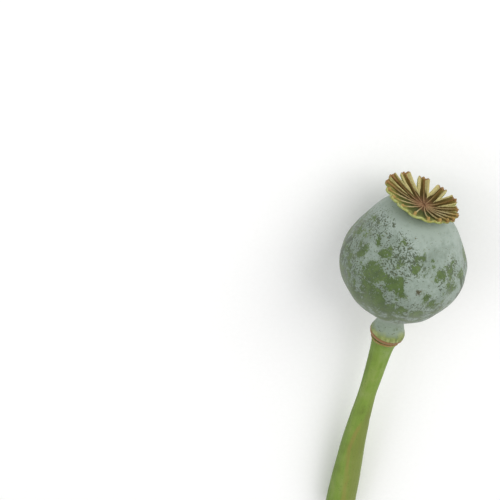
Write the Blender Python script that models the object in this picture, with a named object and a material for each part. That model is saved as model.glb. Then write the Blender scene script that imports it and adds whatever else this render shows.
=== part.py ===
"""A poppy seed head lying on its side: seed capsule, stigma crown and cut stem.

The head is modelled upright along +Z, with the side that is seen facing -Y,
and then laid down so that its capsule and the end of its stem rest on Z = 0.
"""

from math import asin, atan2, cos, exp, pi, radians, sin

import bmesh
import bpy
import numpy as np
from mathutils import Matrix, Vector

MM = 0.001

# Heights along the head's axis, from the middle of the capsule.
CAPSULE_TOP = 23.8 * MM
STEM_CUT = -119.0 * MM
PIECE_GAP = 0.3 * MM

# The capsule's turned outline as (height, radius), crown end first: the shoulder,
# the globe, the short neck and the swollen collar.
CAPSULE_PROFILE = [
    (23.8 * MM, 8.4 * MM),
    (22.2 * MM, 10.9 * MM),
    (19.0 * MM, 14.1 * MM),
    (14.0 * MM, 17.2 * MM),
    (8.0 * MM, 20.3 * MM),
    (1.5 * MM, 22.6 * MM),
    (-4.0 * MM, 22.1 * MM),
    (-9.5 * MM, 19.9 * MM),
    (-15.2 * MM, 15.6 * MM),
    (-19.6 * MM, 10.2 * MM),
    (-22.6 * MM, 6.2 * MM),
    (-25.4 * MM, 4.9 * MM),
    (-28.0 * MM, 5.5 * MM),
    (-30.4 * MM, 6.4 * MM),
    (-32.0 * MM, 6.2 * MM),
    (-33.0 * MM, 5.2 * MM),
]

# The stem's outline: the scar flange under the collar, the waist, the thicker cut end.
STEM_PROFILE = [
    (-33.3 * MM, 4.9 * MM),
    (-34.0 * MM, 5.2 * MM),
    (-35.0 * MM, 4.7 * MM),
    (-38.0 * MM, 4.2 * MM),
    (-44.0 * MM, 3.75 * MM),
    (-52.0 * MM, 3.45 * MM),
    (-61.0 * MM, 3.3 * MM),
    (-75.0 * MM, 3.95 * MM),
    (-90.0 * MM, 4.75 * MM),
    (-105.0 * MM, 5.4 * MM),
    (-119.0 * MM, 5.6 * MM),
]

# How far the middle line wanders sideways, as (height, offset along X).
SPINE = [
    (30.0 * MM, 2.3 * MM),
    (25.0 * MM, 1.45 * MM),
    (19.0 * MM, 0.6 * MM),
    (12.0 * MM, 0.35 * MM),
    (0.0 * MM, 0.3 * MM),
    (-15.0 * MM, 0.8 * MM),
    (-28.0 * MM, 0.95 * MM),
    (-37.0 * MM, 0.3 * MM),
    (-50.0 * MM, -0.3 * MM),
    (-61.0 * MM, -0.9 * MM),
    (-75.0 * MM, -1.35 * MM),
    (-90.0 * MM, -1.3 * MM),
    (-105.0 * MM, -0.9 * MM),
    (-122.0 * MM, -0.3 * MM),
]

# Shallow ribs that give the globe its faintly faceted outline.
RIB_COUNT = 12
RIB_HEIGHT = 0.22 * MM
RIB_TURN = radians(9.0)

CAPSULE_SEGMENTS = 60
CAPSULE_RINGS = 34
STEM_SEGMENTS = 20
STEM_RINGS = 30

# The crown: a shallow cup of lobes, each with a raised ray down its middle.
CROWN_CENTRE = 26.6 * MM
CROWN_RADIUS = 13.8 * MM
CROWN_RISE = 1.6 * MM
CROWN_RISE_POWER = 1.6
CROWN_DEPTH = 2.0 * MM
CROWN_OFFSET = 0.9 * MM
CROWN_SHORT_SIDE = radians(35.0)
CROWN_SHORTENING = 1.1 * MM
CROWN_JITTER = 0.35 * MM
HUB_RADIUS = 5.6 * MM
HUB_BOSS = 0.3 * MM
HUB_BOSS_RADIUS = 2.6 * MM
LOBE_COUNT = 16
LOBE_FIRST = radians(159.9)
LOBE_CROWDING = radians(17.8)
LOBE_CROWDED_SIDE = radians(6.6)
LOBE_PAIRING = radians(7.1)
LOBE_PAIRED_SIDE = radians(33.7)
LOBE_HALF_WIDTH = 2.3 * MM
LOBE_FILL = 0.43
LOBE_TIP_ROUND = 0.8 * MM
LOBE_CURL = 1.0 * MM
LOBE_THICKNESS = 0.8 * MM
RAY_HEIGHT = 0.7 * MM
RAY_FALL = 0.5
RAY_WIDTH = 0.5 * MM
WEB_NEAR = 14.0 * MM
WEB_FAR = 6.0 * MM
WEB_FAR_SIDE = radians(80.0)
WEB_POWER = 0.7
CROWN_SEED = 7

# Across a lobe, from its ray to the middle of the gap beside it.
LOBE_STEPS = [0.0, 0.24, 0.6, 1.0]
GAP_STEPS = [0.3, 0.65]
INNER_RADII = [1.6 * MM, 3.2 * MM, 4.6 * MM]
OUTER_STEPS = [0.35, 0.7, 1.0]

# The flats on which the head lies.
CAPSULE_FLAT_DEPTH = 0.45 * MM
STEM_FLAT_DEPTH = 0.2 * MM
TILT_ROUNDS = 12
CUT_TOLERANCE = 1e-4 * MM

OUTLINE_SAMPLES = 400
SPINE_STEP = 0.5 * MM
SHARP_ANGLE = radians(50.0)


def curve_through(points, height):
    """Read a smooth curve through (height, value) points that run downwards."""
    count = len(points)
    index = 0
    while index < count - 2 and height < points[index + 1][0]:
        index += 1
    start, end = points[index], points[index + 1]
    before = points[index - 1] if index > 0 else start
    after = points[index + 2] if index + 2 < count else end
    span = end[0] - start[0]
    share = (height - start[0]) / span
    slope_in = span * (end[1] - before[1]) / (end[0] - before[0])
    slope_out = span * (after[1] - start[1]) / (after[0] - start[0])
    squared, cubed = share ** 2, share ** 3
    return (
        (2 * cubed - 3 * squared + 1) * start[1]
        + (cubed - 2 * squared + share) * slope_in
        + (3 * squared - 2 * cubed) * end[1]
        + (cubed - squared) * slope_out
    )


def spine_frame(height):
    """Place and turn of the head's cross-section at a height on its middle line."""
    middle = Vector((curve_through(SPINE, height), 0.0, height))
    rise = curve_through(SPINE, height + SPINE_STEP) - curve_through(SPINE, height - SPINE_STEP)
    lean = Matrix.Rotation(atan2(rise, 2 * SPINE_STEP), 4, "Y")
    return Matrix.Translation(middle) @ lean


def rib_relief(height, bearing):
    """Height of the shallow ribs: full round the globe, gone at its neck and top."""
    reach = max(0.0, 1.0 - (height / CAPSULE_TOP) ** 2)
    return RIB_HEIGHT * reach * cos(RIB_COUNT * (bearing - RIB_TURN))


def profile_heights(profile, rings):
    """Heights for the rings, evenly spaced along the outline's own length."""
    fine = np.linspace(profile[0][0], profile[-1][0], OUTLINE_SAMPLES)
    radii = np.array([curve_through(profile, height) for height in fine])
    length = np.concatenate([[0.0], np.cumsum(np.hypot(np.diff(fine), np.diff(radii)))])
    return np.interp(np.linspace(0.0, length[-1], rings), length, fine)


def turned_mesh(bm, profile, rings, segments, relief):
    """Skin rings of vertices along the middle line, from the top to the bottom."""
    loops = []
    for height in profile_heights(profile, rings):
        frame = spine_frame(height)
        radius = curve_through(profile, height)
        loop = []
        for number in range(segments):
            bearing = 2 * pi * number / segments
            reach = radius + relief(height, bearing)
            loop.append(bm.verts.new(frame @ Vector((reach * cos(bearing), reach * sin(bearing), 0.0))))
        loops.append(loop)
    for upper, lower in zip(loops, loops[1:]):
        for number in range(segments):
            after = (number + 1) % segments
            bm.faces.new((upper[number], lower[number], lower[after], upper[after]))
    bm.faces.new(loops[0])
    bm.faces.new(list(reversed(loops[-1])))


def lobe_bearings():
    """Bearings of the crown's rays: even steps, crowded on one side and thinned out on two."""
    even = [LOBE_FIRST - 2 * pi * number / LOBE_COUNT for number in range(LOBE_COUNT)]
    return [
        angle - LOBE_CROWDING * cos(angle - LOBE_CROWDED_SIDE) - LOBE_PAIRING * cos(2 * (angle - LOBE_PAIRED_SIDE))
        for angle in even
    ]


def lobe_lengths(bearings):
    """Reach of each lobe: the crown's radius, short on one side, with a seeded jitter."""
    jitter = np.random.default_rng(CROWN_SEED).uniform(-1.0, 1.0, len(bearings))
    return [
        CROWN_RADIUS - CROWN_SHORTENING * cos(bearing - CROWN_SHORT_SIDE) + CROWN_JITTER * shift
        for bearing, shift in zip(bearings, jitter)
    ]


def web_radius(bearing):
    """How far the web between the lobes reaches: deep gaps on the far side, hardly any near."""
    away = (1.0 - cos(bearing - WEB_FAR_SIDE)) / 2
    return WEB_FAR + (WEB_NEAR - WEB_FAR) * away ** WEB_POWER


def curl_height(bearing):
    """How far a lobe's margins curl up at its tip: most on the far side, not at all near."""
    return LOBE_CURL * (1.0 + sin(bearing)) / 2


def cup_height(radius):
    """Height of the crown's cup, from its sunken middle to its rim."""
    return (CROWN_RISE + CROWN_DEPTH) * (radius / CROWN_RADIUS) ** CROWN_RISE_POWER - CROWN_DEPTH


def crown_columns():
    """Directions round the crown: bearing, rim radius, offset from the ray, half width, curl."""
    bearings = lobe_bearings()
    lengths = lobe_lengths(bearings)
    columns = []
    for number, (bearing, length) in enumerate(zip(bearings, lengths)):
        before = bearings[number - 1] + (2 * pi if number == 0 else 0.0)
        after = bearings[(number + 1) % LOBE_COUNT] - (2 * pi if number == LOBE_COUNT - 1 else 0.0)
        pitch = min(before - bearing, bearing - after)
        half_width = min(LOBE_HALF_WIDTH, LOBE_FILL * pitch * length)
        edge = asin(half_width / length)
        corner = length - LOBE_TIP_ROUND
        for side, gap in ((1.0, before - bearing), (-1.0, bearing - after)):
            steps = [(edge * step, length - LOBE_TIP_ROUND * step ** 2) for step in LOBE_STEPS]
            if side < 0:
                steps = steps[1:]
            for share in GAP_STEPS:
                angle = edge + (gap / 2 - edge) * share
                web = web_radius(bearing + side * angle)
                steps.append((angle, max(min(web, corner), corner * sin(edge) / sin(angle))))
            if side > 0:
                web = web_radius(bearing + gap / 2)
                steps.append((gap / 2, min(web, corner)))
                steps.reverse()
            for angle, rim in steps:
                columns.append((bearing + side * angle, rim, side * angle, half_width, curl_height(bearing)))
    return columns


def crown_spot(radius, bearing, height):
    """A point of the crown, whose middle sits a little to one side of its rim's."""
    aside = CROWN_OFFSET * (1 - radius / CROWN_RADIUS)
    return Vector((radius * cos(bearing) + aside, radius * sin(bearing), height))


def crown_top(radius, offset_angle, half_width, full_curl):
    """Height of the crown's upper side: cup, ray ridge, curled margins and middle boss."""
    across = radius * sin(abs(offset_angle))
    out = min(1.0, radius / CROWN_RADIUS)
    fade = min(1.0, radius / HUB_RADIUS) * (1.0 - RAY_FALL * out ** 3)
    ray = RAY_HEIGHT * fade * exp(-((across / RAY_WIDTH) ** 2))
    curl = full_curl * out ** 3 * min(1.0, across / half_width) ** 3
    boss = HUB_BOSS * exp(-((radius / HUB_BOSS_RADIUS) ** 2))
    return cup_height(radius) + ray + curl + boss


def crown_under(radius, offset_angle, half_width, full_curl):
    """Height of the crown's lower side, flat under the hub and rising to the rim."""
    hub_base = CAPSULE_TOP + PIECE_GAP - CROWN_CENTRE
    share = max(0.0, (radius - HUB_RADIUS) / (CROWN_RADIUS - HUB_RADIUS))
    across = radius * sin(abs(offset_angle))
    curl = full_curl * min(1.0, share) ** 3 * min(1.0, across / half_width) ** 3
    rim_base = CROWN_RISE - LOBE_THICKNESS
    return hub_base + (rim_base - hub_base) * share + curl


def make_material(name, colour, roughness):
    """A plain coloured surface."""
    material = bpy.data.materials.new(name)
    material.use_nodes = True
    shader = material.node_tree.nodes["Principled BSDF"]
    shader.inputs["Base Color"].default_value = (*colour, 1.0)
    shader.inputs["Roughness"].default_value = roughness
    shader.inputs["Metallic"].default_value = 0.0
    return material


def add_piece(name, bm, material, parent):
    """Turn a finished bmesh into one named object, shaded smooth."""
    bmesh.ops.recalc_face_normals(bm, faces=bm.faces)
    mesh = bpy.data.meshes.new(name)
    bm.to_mesh(mesh)
    bm.free()
    mesh.shade_smooth()
    mesh.set_sharp_from_angle(angle=SHARP_ANGLE)
    mesh.materials.append(material)
    piece = bpy.data.objects.new(name, mesh)
    piece.parent = parent
    bpy.context.scene.collection.objects.link(piece)
    return piece


def build_capsule():
    """The globe with its neck and collar, closed at both ends."""
    bm = bmesh.new()
    turned_mesh(bm, CAPSULE_PROFILE, CAPSULE_RINGS, CAPSULE_SEGMENTS, rib_relief)
    return bm


def build_stem():
    """The stem from the scar flange to the plain cut end."""
    bm = bmesh.new()
    turned_mesh(bm, STEM_PROFILE, STEM_RINGS, STEM_SEGMENTS, lambda height, bearing: 0.0)
    return bm


def build_crown():
    """The crown as one closed body: an upper and a lower skin that meet at the rim."""
    bm = bmesh.new()
    frame = spine_frame(CROWN_CENTRE)
    columns = crown_columns()

    def ring(radius_of, height_of):
        verts = []
        for bearing, rim, offset, half_width, full_curl in columns:
            radius = radius_of(rim)
            height = height_of(radius, offset, half_width, full_curl)
            verts.append(bm.verts.new(frame @ crown_spot(radius, bearing, height)))
        return verts

    def outer(step):
        return lambda rim: HUB_RADIUS + (rim - HUB_RADIUS) * step

    rings = [ring(lambda rim, radius=radius: radius, crown_top) for radius in INNER_RADII]
    rings += [ring(outer(step), crown_top) for step in [0.0] + OUTER_STEPS]
    rings += [ring(outer(step), crown_under) for step in reversed([0.0] + OUTER_STEPS)]
    count = len(columns)
    for inner, following in zip(rings, rings[1:]):
        for number in range(count):
            after = (number + 1) % count
            bm.faces.new((inner[number], following[number], following[after], inner[after]))
    middle = bm.verts.new(frame @ crown_spot(0.0, 0.0, crown_top(0.0, 0.0, LOBE_HALF_WIDTH, 0.0)))
    for number in range(count):
        bm.faces.new((middle, rings[0][number], rings[0][(number + 1) % count]))
    bm.faces.new(list(reversed(rings[-1])))
    return bm


def downwards(tilt):
    """The world's down, seen from the upright head, when it lies at this tilt."""
    return Vector((0.0, cos(tilt), -sin(tilt)))


def reach_along(bm, direction):
    """How far a body reaches along a direction."""
    return max(vert.co.dot(direction) for vert in bm.verts)


def resting_tilt(capsule, stem):
    """Tilt at which one plane takes its flat off the capsule and off the stem's end."""
    tilt = 0.0
    for _ in range(TILT_ROUNDS):
        down = downwards(tilt)
        excess = reach_along(capsule, down) - CAPSULE_FLAT_DEPTH
        excess -= reach_along(stem, down) - STEM_FLAT_DEPTH
        tilt += excess / abs(STEM_CUT)
    return tilt


def cut_flat(bm, direction, distance):
    """Take off what lies beyond a plane and close the body with one flat face."""
    everything = list(bm.verts) + list(bm.edges) + list(bm.faces)
    cut = bmesh.ops.bisect_plane(
        bm,
        geom=everything,
        dist=CUT_TOLERANCE,
        plane_co=direction * distance,
        plane_no=direction,
        clear_outer=True,
    )
    edges = [item for item in cut["geom_cut"] if isinstance(item, bmesh.types.BMEdge)]
    bmesh.ops.contextual_create(bm, geom=edges)


def lay_down(carrier, tilt, pieces):
    """Turn the head onto its flats and centre its box over the origin."""
    carrier.rotation_euler = (tilt - pi / 2, 0.0, pi)
    turn = carrier.rotation_euler.to_matrix()
    corners = [turn @ vert.co for piece in pieces for vert in piece.data.vertices]
    low = [min(corner[axis] for corner in corners) for axis in range(3)]
    high = [max(corner[axis] for corner in corners) for axis in range(3)]
    carrier.location = (-(low[0] + high[0]) / 2, -(low[1] + high[1]) / 2, -low[2])


def main():
    for item in list(bpy.data.objects):
        bpy.data.objects.remove(item, do_unlink=True)
    carrier = bpy.data.objects.new("head_axis", None)
    bpy.context.scene.collection.objects.link(carrier)

    capsule, stem, crown = build_capsule(), build_stem(), build_crown()
    tilt = resting_tilt(capsule, stem)
    down = downwards(tilt)
    floor = reach_along(capsule, down) - CAPSULE_FLAT_DEPTH
    cut_flat(capsule, down, floor)
    cut_flat(stem, down, floor)

    bloom = make_material("waxy_bloom", (0.30, 0.38, 0.30), 0.6)
    straw = make_material("dry_stigma", (0.34, 0.28, 0.12), 0.75)
    green = make_material("green_stem", (0.20, 0.29, 0.07), 0.5)
    pieces = [
        add_piece("seed_capsule", capsule, bloom, carrier),
        add_piece("stigma_crown", crown, straw, carrier),
        add_piece("stem", stem, green, carrier),
    ]
    lay_down(carrier, tilt, pieces)


main()
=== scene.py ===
"""A poppy seed head lying on a pale surface: waxy capsule, lobed stigma crown, cut stem.

The head is worked out upright, along +Z from the middle of its capsule with the side that
is seen facing -Y, and then laid down where the frame's solids lie.
"""

from functools import partial
from math import asin, atan2, cos, exp, pi, radians, sin
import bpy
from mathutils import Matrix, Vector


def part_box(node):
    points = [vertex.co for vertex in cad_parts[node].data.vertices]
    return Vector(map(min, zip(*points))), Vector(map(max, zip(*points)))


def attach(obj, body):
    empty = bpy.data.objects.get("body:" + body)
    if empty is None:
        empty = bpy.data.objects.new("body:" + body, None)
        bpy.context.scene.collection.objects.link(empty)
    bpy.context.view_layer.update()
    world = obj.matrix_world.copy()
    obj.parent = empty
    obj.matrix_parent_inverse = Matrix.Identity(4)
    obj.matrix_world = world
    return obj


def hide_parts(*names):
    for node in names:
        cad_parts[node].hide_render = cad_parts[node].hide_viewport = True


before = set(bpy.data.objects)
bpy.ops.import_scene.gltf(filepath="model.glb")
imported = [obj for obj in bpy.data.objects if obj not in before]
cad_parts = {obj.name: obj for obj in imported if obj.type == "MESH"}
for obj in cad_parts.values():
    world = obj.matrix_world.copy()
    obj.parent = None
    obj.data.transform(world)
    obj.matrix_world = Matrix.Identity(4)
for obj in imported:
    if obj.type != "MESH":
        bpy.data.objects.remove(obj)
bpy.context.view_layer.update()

from types import SimpleNamespace

import bmesh
import bpy
import numpy as np
from bpy.props import FloatProperty, IntProperty, PointerProperty, StringProperty
from bpy.types import Operator, Panel, PropertyGroup
from mathutils import Matrix, Vector, noise

bl_info = {
    "name": "Poppy Seed Head",
    "version": (1, 0, 0),
    "blender": (4, 5, 0),
    "location": "View3D > Sidebar > Poppy",
    "description": "Builds a poppy seed head with its waxy bloom, stigma crown and cut stem",
    "category": "Add Mesh",
}

MM = 0.001


def in_metres(*rows):
    """Rows of millimetres as rows of metres."""
    return [tuple(value * MM for value in row) for row in rows]


CAPSULE_REPLACES = "seed_capsule"
CROWN_REPLACES = "stigma_crown"
STEM_REPLACES = "stem"

# Heights along the head's axis, from the middle of the capsule, crown end up.
CAPSULE_TOP = 23.8 * MM
CROWN_CENTRE = 26.6 * MM
PIECE_GAP = 0.3 * MM
STEM_CUT = -119.0 * MM
LYING_TILT = radians(8.12)

# The capsule's turned outline as (height, radius): shoulder, globe, neck and collar.
CAPSULE_RADIUS = 22.5 * MM
CAPSULE_PROFILE = in_metres(
    (23.8, 8.4), (22.2, 10.9), (19.0, 14.1), (14.0, 17.2), (8.0, 20.3), (1.5, 22.6),
    (-4.0, 22.1), (-9.5, 19.9), (-15.2, 15.6), (-19.6, 10.2), (-22.6, 6.2), (-25.4, 4.9),
    (-28.0, 5.5), (-30.4, 6.4), (-32.0, 6.2), (-33.0, 5.2),
)
# The stem's outline: scar flange under the collar, waist, thicker cut end.
STEM_PROFILE = in_metres(
    (-33.3, 4.9), (-34.0, 5.2), (-35.0, 4.7), (-38.0, 4.2), (-44.0, 3.75), (-52.0, 3.45),
    (-61.0, 3.3), (-75.0, 3.95), (-90.0, 4.75), (-105.0, 5.4), (-119.0, 5.6),
)
# How far the middle line wanders sideways, as (height, offset along X).
SPINE = in_metres(
    (30.0, 2.3), (25.0, 1.45), (19.0, 0.6), (12.0, 0.35), (0.0, 0.3), (-15.0, 0.8),
    (-28.0, 0.95), (-37.0, 0.3), (-50.0, -0.3), (-61.0, -0.9), (-75.0, -1.35), (-90.0, -1.3),
    (-105.0, -0.9), (-122.0, -0.3),
)

# Shallow ribs of the globe, and fine crimps round the collar's lower edge.
RIB_COUNT = 12
RIB_HEIGHT = 0.22 * MM
RIB_TURN = radians(9.0)
CRIMP_CROWDING = 9.0
CRIMP_DEPTH = 0.12 * MM
COLLAR_HEIGHT = -31.0 * MM

# Unevenness of the skins, as (size, height).
GLOBE_BROAD_SWELL = (13.0 * MM, 0.16 * MM)
GLOBE_SMALL_SWELL = (3.5 * MM, 0.035 * MM)
NECK_WRINKLE = (1.1 * MM, 0.09 * MM)
CROWN_BROAD_SWELL = (3.5 * MM, 0.14 * MM)
CROWN_WRINKLE = (1.2 * MM, 0.06 * MM)
# Lengthwise ridges of the stem, as (number round it, height).
BROAD_RIDGES = (11, 0.05 * MM)
FINE_RIDGES = (23, 0.03 * MM)

# Bands along or across the head, as (where it starts, way until it is full); a band that
# grows downwards or to the left counts that way.
GLOBE_BAND = (-20.0 * MM, 4.0 * MM)
# Painted light: the band just under the crown where the wax is painted lighter, against the shade that the
# crown casts there.
PAINTED_LIGHT_TOP_BAND = (15.0 * MM, 7.0 * MM)
LOW_BAND_DOWN = (-1.0 * MM, 9.0 * MM)
LEFT_BAND_OUT = (6.0 * MM, 10.0 * MM)
COLLAR_BAND_DOWN = (26.8 * MM, 3.6 * MM)
# The band along the collar's lower edge where painted shade fills the crimps' hollows.
CRIMP_SHADE_BAND_DOWN = (29.6 * MM, 0.8 * MM)
CRIMP_SHADE_BAND_UP = (-32.6 * MM, 0.8 * MM)
OLIVE_BAND_DOWN = (55.0 * MM, 15.0 * MM)
RUDDY_BAND_DOWN = (68.0 * MM, 6.0 * MM)
BLOOMY_BAND = (-52.0 * MM, 14.0 * MM)

# The ridge of the scar under the collar, and the pith inside the stem's cut end.
SCAR_HEIGHT = -33.6 * MM
SCAR_RIDGE = 0.3 * MM
SCAR_WIDTH = 0.24 * MM
PITH_RADIUS = 5.2 * MM
PITH_ASIDE = -0.4 * MM
CUT_TOLERANCE = 0.3 * MM
# Where the scar starts on the collar's lower edge: its mean height, how much higher it starts
# on one side, and the bearing of the other side.
CORK_TOP = -30.3 * MM
CORK_SLANT = 0.9 * MM
CORK_LOW_BEARING = radians(-30.0)
CORK_DEPTH = 1.5 * MM

# The crown, as the solid has it.
CROWN_RADIUS = 13.8 * MM
CROWN_RISE = 1.6 * MM
CROWN_RISE_POWER = 1.6
CROWN_DEPTH = 2.0 * MM
CROWN_OFFSET = 0.9 * MM
CROWN_SHORT_SIDE = radians(35.0)
CROWN_SHORTENING = 1.1 * MM
CROWN_JITTER = 0.35 * MM
HUB_RADIUS = 5.6 * MM
LOBE_COUNT = 16
LOBE_FIRST = radians(159.9)
LOBE_CROWDING = radians(17.8)
LOBE_CROWDED_SIDE = radians(6.6)
LOBE_PAIRING = radians(7.1)
LOBE_PAIRED_SIDE = radians(33.7)
LOBE_HALF_WIDTH = 2.3 * MM
LOBE_FILL = 0.43
LOBE_TIP_ROUND = 0.8 * MM
LOBE_CURL = 1.0 * MM
LOBE_THICKNESS = 0.8 * MM
WEB_NEAR = 14.0 * MM
WEB_FAR = 6.0 * MM
WEB_FAR_SIDE = radians(80.0)
WEB_POWER = 0.7
CROWN_SEED = 7

# The crown's finer form: each lobe is a fold with a ray along its middle, a groove beside
# the ray and a padded flank, and the lobes nearest the viewer are flatter with a bright lip.
RAY_BASE_HEIGHT = 0.3 * MM
RAY_BASE_WIDTH = 0.45 * MM
RAY_STEPS = 30
RAY_LIFT = 0.1 * MM
GROOVE_DEPTH = 0.4 * MM
GROOVE_SHARE = 0.42
GROOVE_SPREAD = 0.22
FLANK_HEIGHT = 0.5 * MM
FLANK_START = 0.8
FLANK_START_BACK = 0.34
LIP_HEIGHT = 0.22 * MM
LIP_WIDTH = 0.72 * MM
TIP_LIFT = 0.3 * MM
BOSS_HEIGHT = 0.3 * MM
BOSS_RADIUS = 2.6 * MM
RIM_RAGGEDNESS = 0.012
RIM_CROWDING = 24.0

# Sides of the crown as (bearing, full within, gone beyond), in degrees: the flat lobes nearest
# the viewer, the near half, the long lobes furthest away, and a side with duller flanks.
FRONT_SIDE = (-115.0, 30.0, 75.0)
NEAR_SIDE = (-91.0, 65.0, 106.0)
BACK_SIDE = (95.0, 30.0, 62.0)
DULL_SIDE = (168.0, 25.0, 60.0)

# Places where the bloom has rubbed off, as (bearing, height, radius, strength) in degrees and
# millimetres. Strong ones are bare green skin, weak ones a scatter of flecks.
RUBBED_PLACES = [
    (-119.0, 5.0, 5.4, 1.0), (-128.0, 5.0, 3.4, 0.85), (-122.0, 0.0, 4.8, 0.95),
    (-98.0, 4.6, 4.4, 1.1), (-93.0, 2.0, 3.0, 0.9), (-118.0, 12.9, 3.4, 0.95),
    (-147.0, 8.6, 3.2, 0.9), (-152.0, 3.5, 3.2, 0.7), (-112.0, -2.4, 5.0, 0.9),
    (-126.0, -6.0, 5.0, 0.75), (-77.0, 13.4, 2.4, 0.85), (-80.0, 11.0, 2.4, 0.85),
    (-61.0, 12.2, 2.1, 0.75), (-69.0, 9.8, 2.4, 0.65), (-52.0, 8.0, 3.4, 0.76),
    (-37.0, 9.6, 3.6, 0.76), (-42.0, 3.0, 4.6, 0.74), (-24.0, 5.0, 4.0, 0.66),
    (-72.0, -7.0, 4.2, 0.8), (-48.0, -6.5, 4.4, 0.76), (-68.0, 0.4, 3.4, 0.75),
    (-56.0, -3.0, 3.6, 0.65), (-107.0, -5.6, 5.0, 0.85), (-88.0, -5.5, 4.4, 0.75),
    (-148.0, 1.3, 4.2, 0.75), (-168.0, 12.3, 3.0, 0.6), (-134.0, 14.5, 2.6, 0.75),
    (-107.0, 17.6, 2.2, 0.5), (-150.0, 18.0, 3.4, 0.5), (-100.0, 12.0, 3.4, 0.52),
]
# Places with more or fewer flecks than their surroundings, in the same units.
FLECKED_PLACES = [
    (-107.0, 18.3, 4.0, 0.66), (-150.0, 18.0, 6.5, 0.84), (-128.0, 17.5, 4.0, 0.66),
    (-168.0, 12.3, 5.0, 0.85), (-95.0, 14.5, 5.0, 0.95), (-82.0, 12.0, 5.0, 0.95),
    (-130.0, 9.0, 6.0, 0.55), (-100.0, 9.5, 4.0, 0.8), (-52.0, 8.0, 5.0, 0.85),
    (-37.0, 9.6, 5.0, 0.85), (-64.0, 6.7, 3.5, 0.3), (-62.0, 19.1, 6.0, 0.38),
    (-55.0, 14.5, 4.0, 0.36), (-158.0, 12.2, 2.5, 0.2), (-78.0, 1.5, 3.5, 0.3),
    (-72.0, -3.0, 5.0, 0.6),
]
# How many rubbed places lie out of sight, and the ranges that their four values are drawn from.
RUBBED_BEHIND = 16
BEHIND_RANGES = ((0.0, 180.0), (-12.0, 18.0), (2.5, 5.0), (0.5, 1.0))
RUBBED_SEED = 23
# How the rubbed places are made ragged, as (size of the unevenness, how far it moves points),
# and how large the patches of wear are that lie low down and on one side.
RAGGED_SIZES = in_metres((5.0, 2.0), (1.9, 1.1))
PATCH_SIZE = 3.2 * MM
# A small dry scab as (bearing, height), and its size.
SCAB = (radians(-76.0), 3.0 * MM)
SCAB_RADIUS = 1.5 * MM

# A ruddy mark that wanders down the stem, as (height, bearing in degrees), and its half width.
RUDDY_MARK = [
    (-68.0 * MM, -70.0), (-77.0 * MM, -95.0), (-84.0 * MM, -108.0),
    (-91.0 * MM, -100.0), (-98.0 * MM, -88.0), (-112.0 * MM, -80.0),
]
RUDDY_SPREAD = 0.28
# Painted shade: the stem's left side, away from the light, is painted a deeper green.
SHADED_SIDE_BEARING = radians(-178.0)
SHADED_SIDE_SPREAD = radians(36.0)

# Kinds of node, as (Blender's name, output that is read, order of a row of inputs, settings).
RANGE_INPUTS = ("Value", "From Min", "From Max", "To Min", "To Max")
NODE_KINDS = {
    "attribute": ("ShaderNodeAttribute", "Fac", (), {}),
    "noise": ("ShaderNodeTexNoise", 0, ("Vector", "Scale", "Detail", "Roughness", "Distortion"), {}),
    "ramp": ("ShaderNodeValToRGB", 0, ("Fac",), {}),
    "mix": ("ShaderNodeMix", 2, (0, 6, 7), {"data_type": "RGBA"}),
    "range": ("ShaderNodeMapRange", 0, RANGE_INPUTS, {}),
    "soft range": ("ShaderNodeMapRange", 0, RANGE_INPUTS, {"interpolation_type": "SMOOTHSTEP"}),
    "vector": ("ShaderNodeVectorMath", 0, (0, 1), {"operation": "MULTIPLY"}),
    "vector scale": ("ShaderNodeVectorMath", 0, (0, "Scale"), {"operation": "SCALE"}),
    "bump": ("ShaderNodeBump", 0, ("Strength", "Distance", "Height"), {}),
    **{operation: ("ShaderNodeMath", 0, (0, 1, 2), {"operation": operation})
       for operation in ("ADD", "SUBTRACT", "MULTIPLY", "DIVIDE", "MULTIPLY_ADD", "MAXIMUM")},
}


def linear_colour(code):
    """Turn an sRGB hex code into the linear colour that the shaders take."""
    values = [int(code[index:index + 2], 16) / 255 for index in (1, 3, 5)]
    linear = [value / 12.92 if value <= 0.04045 else ((value + 0.055) / 1.055) ** 2.4
              for value in values]
    return (*linear, 1.0)


def curve_through(points, height):
    """Read a smooth curve through (height, value) points that run downwards."""
    count = len(points)
    index = 0
    while index < count - 2 and height < points[index + 1][0]:
        index += 1
    start, end = points[index], points[index + 1]
    before = points[index - 1] if index > 0 else start
    after = points[index + 2] if index + 2 < count else end
    span = end[0] - start[0]
    share = (height - start[0]) / span
    slope_in = span * (end[1] - before[1]) / (end[0] - before[0])
    slope_out = span * (after[1] - start[1]) / (after[0] - start[0])
    squared, cubed = share ** 2, share ** 3
    return (
        (2 * cubed - 3 * squared + 1) * start[1]
        + (cubed - 2 * squared + share) * slope_in
        + (3 * squared - 2 * cubed) * end[1]
        + (cubed - squared) * slope_out
    )


def lines_through(points, heights):
    """Read straight lines through (height, value) points that run downwards, at many heights."""
    places, values = zip(*points)
    return np.interp(-heights, [-place for place in places], values)


def smooth_step(low, high, value):
    """A soft step from 0 at low to 1 at high."""
    share = min(1.0, max(0.0, (value - low) / (high - low)))
    return share * share * (3 - 2 * share)


def rise(values, start, width):
    """A straight rise of many values, from 0 at the start to 1 a width beyond it."""
    return np.clip((values - start) / width, 0.0, 1.0)


def bell(value):
    """A bell curve: 1 at 0, and nearly 0 beyond 2."""
    return exp(-(value ** 2))


def swell(place, size, height):
    """Smooth unevenness at a place, of a given size and height."""
    return height * noise.noise(Vector(place) / size)


def round_spot(reach, bearing, height=0.0):
    """A point at a distance and a bearing from the axis."""
    return Vector((reach * cos(bearing), reach * sin(bearing), height))


def spine_frame(height):
    """Place and turn of the head's cross-section at a height on its middle line."""
    step = 0.5 * MM
    middle = Vector((curve_through(SPINE, height), 0.0, height))
    climb = curve_through(SPINE, height + step) - curve_through(SPINE, height - step)
    lean = Matrix.Rotation(atan2(climb, 2 * step), 4, "Y")
    return Matrix.Translation(middle) @ lean


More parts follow.
